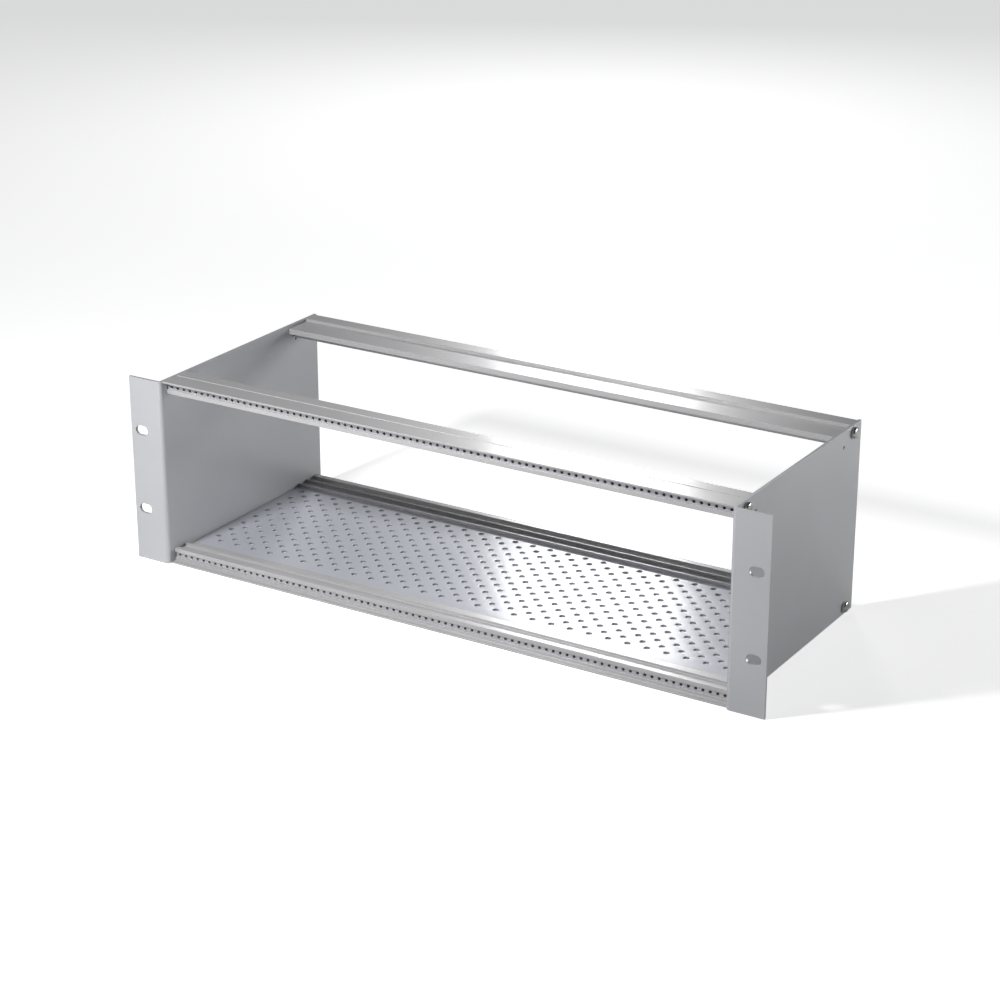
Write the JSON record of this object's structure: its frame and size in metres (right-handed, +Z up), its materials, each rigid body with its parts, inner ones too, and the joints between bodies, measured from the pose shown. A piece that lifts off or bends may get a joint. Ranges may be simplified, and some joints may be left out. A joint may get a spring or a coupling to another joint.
{
  "type": "subrack chassis",
  "caption": "Open 19-inch 3U card frame: folded side panels with rack ears, extruded cross rails with tapped strips, and a perforated base plate.",
  "frame": {"origin": "Middle of the footprint, on the plane that the frame stands on.", "axes": "+X along the rack width, to the right seen from the front; -Y out of the front; +Z up."},
  "size_m": [0.4826, 0.1804, 0.1325],
  "materials": {
    "folded_sheet": "clear anodised, fine satin",
    "rail_extrusion": "clear anodised extrusion, drawn along its length",
    "perforated_sheet": "clear anodised, fine satin",
    "strip_steel": "zinc plated",
    "screw_steel": "bright nickel plated"
  },
  "bodies": {
    "root": {"left_side_panel": "folded_sheet", "right_side_panel": "folded_sheet", "front_bottom_rail": "rail_extrusion", "front_top_rail": "rail_extrusion", "rear_bottom_rail": "rail_extrusion", "rear_top_rail": "rail_extrusion", "front_bottom_strip": "strip_steel", "front_top_strip": "strip_steel", "base_plate": "perforated_sheet", "front_bottom_left_screw": "screw_steel", "front_top_left_screw": "screw_steel", "rear_bottom_left_screw": "screw_steel", "rear_top_left_screw": "screw_steel", "front_bottom_right_screw": "screw_steel", "front_top_right_screw": "screw_steel", "rear_bottom_right_screw": "screw_steel", "rear_top_right_screw": "screw_steel"}
  },
  "joints": []
}
